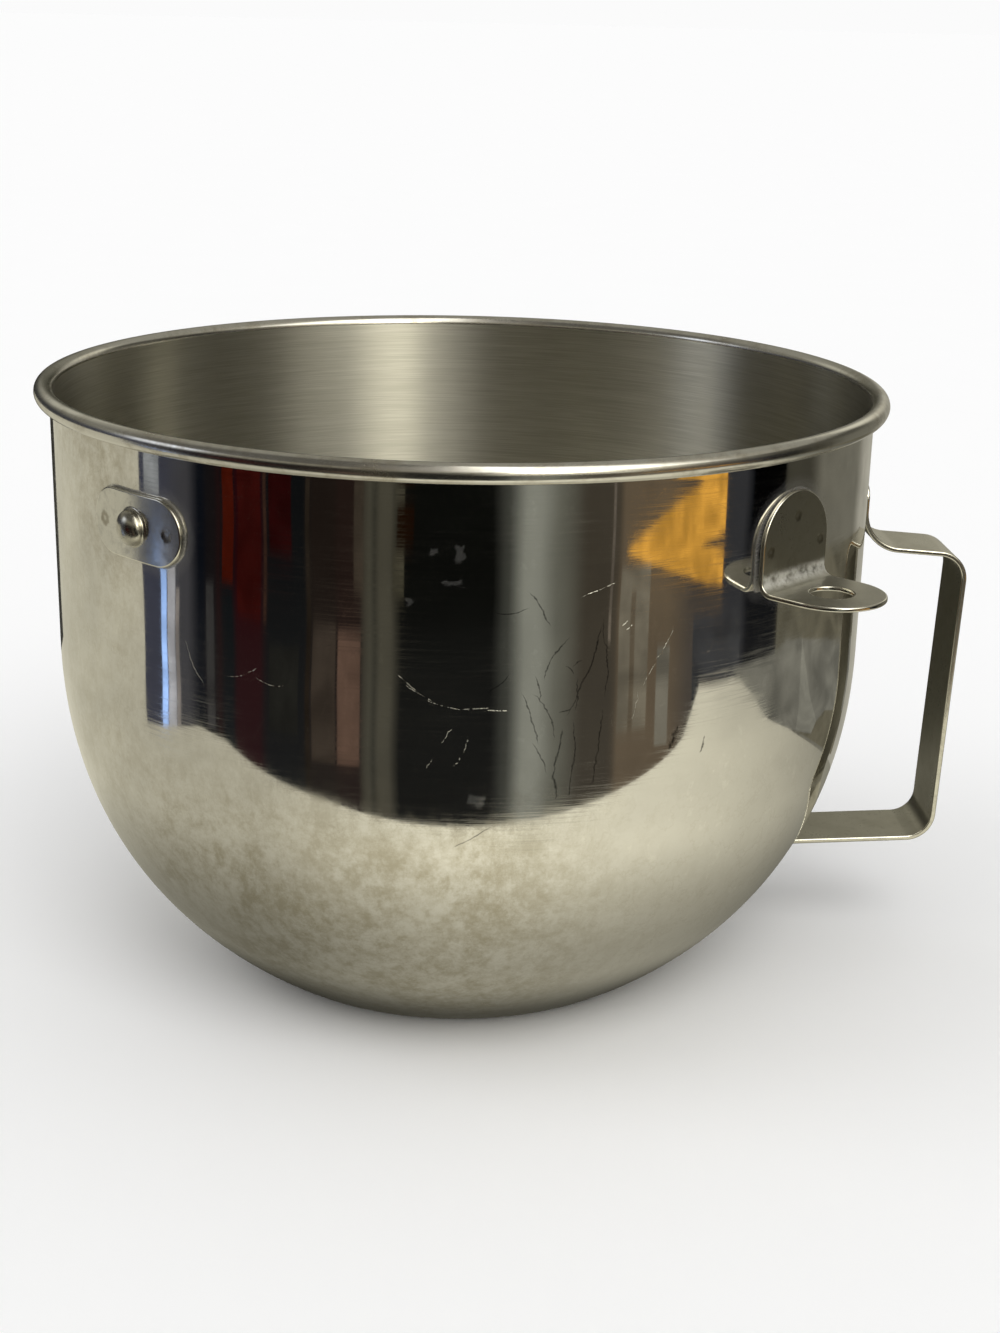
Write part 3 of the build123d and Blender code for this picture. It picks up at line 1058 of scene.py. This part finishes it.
def band_ramp(graph, bands, turn):
    """Colours by angle, level within each band and blended across the gaps between bands."""
    ramp = graph.node("ValToRGB", {0: turn})
    elements = ramp.socket.node.color_ramp.elements
    stops = [(place, tone) for start, end, tone in bands for place in (start, end)]
    for index, (place, tone) in enumerate(stops):
        share = (place + 180) / 360
        element = elements[index] if index < 2 else elements.new(share)
        element.position = share
        element.color = (*tone, 1.0)
    return ramp


def shining_material(name, paint):
    """A material that only shines, in the colour that paint gives for its graph."""
    material = bpy.data.materials.new(name)
    material.use_nodes = True
    nodes = material.node_tree.nodes
    nodes.clear()
    graph = Graph(material.node_tree)
    emission = graph.node("Emission", {"Color": paint(graph)})
    graph.fill(nodes.new("ShaderNodeOutputMaterial"), {"Surface": emission})
    return material


def floor_polar(graph):
    """Distance from the bowl's axis, the angle from the camera's side, and the height."""
    x, y, z = graph.split(graph.position())
    return graph.length(x, y), graph.azimuth(x, y), z


def room_paint(graph):
    """The dark floor and the walls: bands as the curved steel mirrors them, and two windows."""
    reach, azimuth, z = floor_polar(graph)
    swing = graph.math("SINE", azimuth * mirror_turn) * (wall_radius * MM)
    heading = azimuth + graph.math("ARCSINE", swing / reach)
    turn = (heading / (2 * pi) + 0.5).clamped()
    right = graph.math("GREATER_THAN", heading, 0.0)
    left_bands, right_bands = [band_ramp(graph, bands, turn) for bands in (LEFT_BANDS, RIGHT_BANDS)]
    bands = graph.blend(right, left_bands, right_bands)
    drift = graph.noise(graph.position(), 11.0, detail=4.0)
    bands = graph.blend(drift, bands, (0.6, 0.6, 0.6), "MULTIPLY")
    near = reach.ramp(0.62, 0.34, 0.0, 0.009)
    bands = graph.blend(1.0, bands, graph.vector(near, near, near), "ADD")
    walls = graph.blend(z.ramp(0.30, 0.95), bands, band_ramp(graph, UPPER_BANDS, turn))
    ceiling = z.ramp(room_height - 0.30, room_height - 0.02)
    return graph.blend(ceiling, walls, band_ramp(graph, CEILING_BANDS, turn))


def table_paint(graph):
    """A cream table top with the bowl's contact shadow painted under it, darker towards its sides
    and back.
    """
    reach, azimuth, _ = floor_polar(graph)
    # painted shadow: the table darkens near the bowl's foot as the bowl's contact shadow would
    painted_contact_shadow = reach.ramp(0.060, 0.082, 0.07, 0.42) + reach.ramp(0.080, 0.185, 0.0, 0.72)
    left = azimuth.ramp(radians(-46), radians(0), 0.56, 1.0)
    right = azimuth.ramp(radians(5), radians(150), 1.0, 0.16)
    behind = abs(azimuth).ramp(radians(150), radians(178))
    sides = left * right * (1.0 - behind) + behind * 0.34
    drift = graph.noise(graph.position(), 5.0).ramp(0.3, 0.7, 0.92, 1.08)
    shade = painted_contact_shadow * sides * drift
    return graph.blend(1.0, graph.vector(shade, shade, shade), table_tone, "MULTIPLY")


def card_material(name, tone):
    """One card's colour, with a soft drift of shade over it."""
    darker, lighter = [tuple(share * part for part in tone) for share in (0.62, 1.22)]

    def paint(graph):
        drift = graph.noise(graph.position(), 14.0, detail=4.0, distortion=0.5)
        return graph.blend(drift.ramp(0.30, 0.72), darker, lighter)

    return shining_material(name, paint)


def stage_piece(name, bm, material):
    obj = new_object(name, bm, [material])
    obj.rotation_euler.z = radians(camera_azimuth)
    return obj


def reflected_piece(name, bm, material):
    """A studio card: the steel mirrors it, and it neither shows nor lights or shades anything."""
    obj = stage_piece(name, bm, material)
    for rays in ("camera", "diffuse", "shadow", "transmission", "volume_scatter"):
        setattr(obj, "visible_" + rays, False)


def build_disc(radius, height):
    bm = bmesh.new()
    bmesh.ops.create_circle(bm, cap_ends=True, segments=128, radius=radius)
    bmesh.ops.translate(bm, verts=bm.verts, vec=(0, 0, height))
    return bm


def upright_ring(bm, radius, height, turns):
    return [bm.verts.new((radius * sin(turn), -radius * cos(turn), height)) for turn in turns]


def build_room():
    """The dark floor beyond the table, and the walls and ceiling of the room."""
    bm = bmesh.new()
    steps = 240
    span = 360 + cloth_start - cloth_end
    inner, outer = [], []
    for step in range(steps + 1):
        heading = cloth_end + span * step / steps
        heading -= 360 if heading > 180 else 0
        inner.append(bm.verts.new((*floor_place(heading), 2 * card_lift)))
        outer.append(bm.verts.new((*floor_place(heading, room_radius), 2 * card_lift)))
    join_rows(bm, inner, outer)
    turns = [2 * pi * step / 96 for step in range(96)]
    low, high = [upright_ring(bm, room_radius, height, turns) for height in (0.0, room_height)]
    join_rows(bm, low + low[:1], high + high[:1])
    bm.faces.new(high)
    reflected_piece("room_cards", bm, shining_material("room_cards", room_paint))


def build_card(level, name, start, end, near, far, tone):
    """One sector of the dark floor, whose sides show upright in the wall."""
    bm = bmesh.new()
    across, along = 6, 8
    rows = []
    for row in range(along + 1):
        verts = []
        for heading in spaced(start, end, (end - start) / across):
            first = max(near, hypot(*floor_place(heading)))
            place = floor_place(heading, first * (far / first) ** (row / along))
            verts.append(bm.verts.new((*place, level * card_lift)))
        rows.append(verts)
    for lower, upper in zip(rows, rows[1:]):
        join_rows(bm, lower, upper)
    reflected_piece(name, bm, card_material(name, tone))


def build_outlined_card(name, level, tone, corners):
    bm = bmesh.new()
    verts = [bm.verts.new((*floor_place(*corner), level * card_lift)) for corner in corners]
    edges = [bm.edges.new((verts[index - 1], verts[index])) for index in range(len(verts))]
    bmesh.ops.triangle_fill(bm, edges=edges, use_beauty=True)
    reflected_piece(name, bm, card_material(name, tone))


def build_wall_light():
    bm = bmesh.new()
    turns = [radians(heading) for heading in spaced(wall_light_start, wall_light_end, 2.0)]
    heights = (wall_light_low, wall_light_high)
    join_rows(bm, *(upright_ring(bm, 0.99 * room_radius, height, turns) for height in heights))
    reflected_piece("pale_wall", bm, card_material("pale_wall", wall_light_tone))


def build_floor():
    """The white ground, which the photograph's white background ends in."""
    material, graph, shader = new_material("white_floor", metallic=0.0)
    grain = graph.noise(graph.position(), 14.0, detail=5.0)
    graph.fill(shader, {
        "Base Color": graph.blend(grain, (0.955, 0.955, 0.955), (0.965, 0.965, 0.965)),
        "Roughness": 1.0, "Specular IOR Level": 0.0,
    })
    stage_piece("floor", build_disc(60.0, 0.0), material)


def build_world():
    """Even pale light; the camera sees it as the same white as the floor."""
    world = bpy.data.worlds.new("studio")
    bpy.context.scene.world = world
    world.use_nodes = True
    graph = Graph(world.node_tree)
    path = graph.node("LightPath", {}).socket.node.outputs
    rays = ("Is Camera Ray", "Is Glossy Ray", "Is Transmission Ray")
    seen = graph.largest(*(Value(graph, path[ray]) for ray in rays))
    strength = seen * (background_white - background_fill) + background_fill
    background = world.node_tree.nodes["Background"]
    graph.fill(background, {"Color": (1.0, 1.0, 1.0), "Strength": strength})


def add_sun(name, azimuth, elevation, spread, strength):
    """A large soft lamp, by its angles from the camera's side."""
    lamp = bpy.data.lights.new(name, "SUN")
    lamp.energy = strength
    lamp.angle = radians(spread)
    obj = bpy.data.objects.new(name, lamp)
    turn, rise = radians(azimuth + camera_azimuth), radians(elevation)
    toward = Vector((sin(turn) * cos(rise), -cos(turn) * cos(rise), sin(rise)))
    obj.rotation_euler = toward.to_track_quat("Z", "Y").to_euler()
    bpy.context.scene.collection.objects.link(obj)


def add_camera():
    """The photograph's view of the bowl, from in front between the latch pin and the right ear."""
    azimuth = radians(camera_azimuth)
    heading = azimuth - radians(camera_yaw)
    pitch, roll = radians(camera_pitch), radians(camera_roll)
    forward = Vector((-sin(heading) * cos(pitch), cos(heading) * cos(pitch), -sin(pitch)))
    right = forward.cross(Vector((0, 0, 1))).normalized()
    up = right.cross(forward)
    right, up = cos(roll) * right + sin(roll) * up, cos(roll) * up - sin(roll) * right
    camera = bpy.data.cameras.new("camera")
    camera.sensor_width = sensor
    camera.lens = focal_pixels * sensor / photo_height
    camera.clip_start = 0.01
    camera.clip_end = 200.0
    obj = bpy.data.objects.new("camera", camera)
    place = Vector((sin(azimuth), -cos(azimuth), 0)) * camera_distance
    place.z = camera_height
    axes = Matrix((right, up, -forward)).transposed().to_4x4()
    obj.matrix_world = Matrix.Translation(place * MM) @ axes
    bpy.context.scene.collection.objects.link(obj)
    bpy.context.scene.camera = obj


# ======== The bowl ========

ear_frost_highlight_rise = 2.2         # middle of the frosting and painted highlight in the ears' bend, above the tongue


def ear_welds():
    """Centres of the right ear's dents at Y from 0 up."""
    face = seat_radius + ear_sheet
    return [
        Vector((face, 0, ear_high.z - ear_dent_from_top)),
        Vector((face, ear_side_dent_y, ear_high.z - ear_side_dent_drop)),
    ]


def plate_weld():
    """Centre of the latch plate's dent on +X, with its Y turned positive."""
    face = seat_radius + latch_sheet
    turn = asin(latch_dent_spacing / 2 / face)
    return Vector((face * sin(turn), face * cos(turn), plate_middle))


def place(piece, node, slot):
    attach(piece, "root")
    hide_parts(node)


add_camera()
outside, inside, bead = polished_outside(), brushed_inside(), polished_bead()
satin = satin_fitting("satin_strap")
frost_and_highlight_height = ear_low.z + ear_sheet + ear_frost_highlight_rise
# The ears are the strap's satin steel darkened to 0.80 as painted shade.
ear_face = satin_fitting("satin_ear", 0.80, frost_and_highlight_height, ear_welds())
edge = polished_fitting("polished_edge", (0.68, 0.66, 0.59), 0.14)
plate_face = polished_fitting("plate_steel", (0.60, 0.585, 0.54), 0.16, welds=[plate_weld()])
# The pin's steel is toned darker than the plate's as painted shade, which dulls its reflections.
pin_face = polished_fitting("pin_steel", (0.47, 0.45, 0.39), 0.22)

place(build_shell(outside, inside, bead), "bowl_shell", "polished_steel")
place(build_ear("ear_right", 0.0, ear_face, edge), "ear_bracket_right", "fitting_steel")
place(build_ear("ear_left", pi, ear_face, edge), "ear_bracket_left", "fitting_steel")
place(build_latch_plate(plate_face, edge), "latch_plate", "polished_steel")
place(build_latch_pin(pin_face), "latch_pin", "polished_steel")
place(build_handle(satin, edge), "handle", "fitting_steel")

build_floor()
table_top = shining_material("cream_table", table_paint)
reflected_piece("cream_table", build_disc(room_radius, card_lift), table_top)
build_room()
for level, card in enumerate(CARDS, start=3):
    build_card(level, *card)
for card in OUTLINED_CARDS:
    build_outlined_card(*card)
build_wall_light()
build_world()
add_sun("key_light", 20.0, 50.0, 35.0, 0.75)
add_sun("side_light", -85.0, 40.0, 30.0, 0.35)
bpy.context.scene.view_settings.view_transform = "Standard"
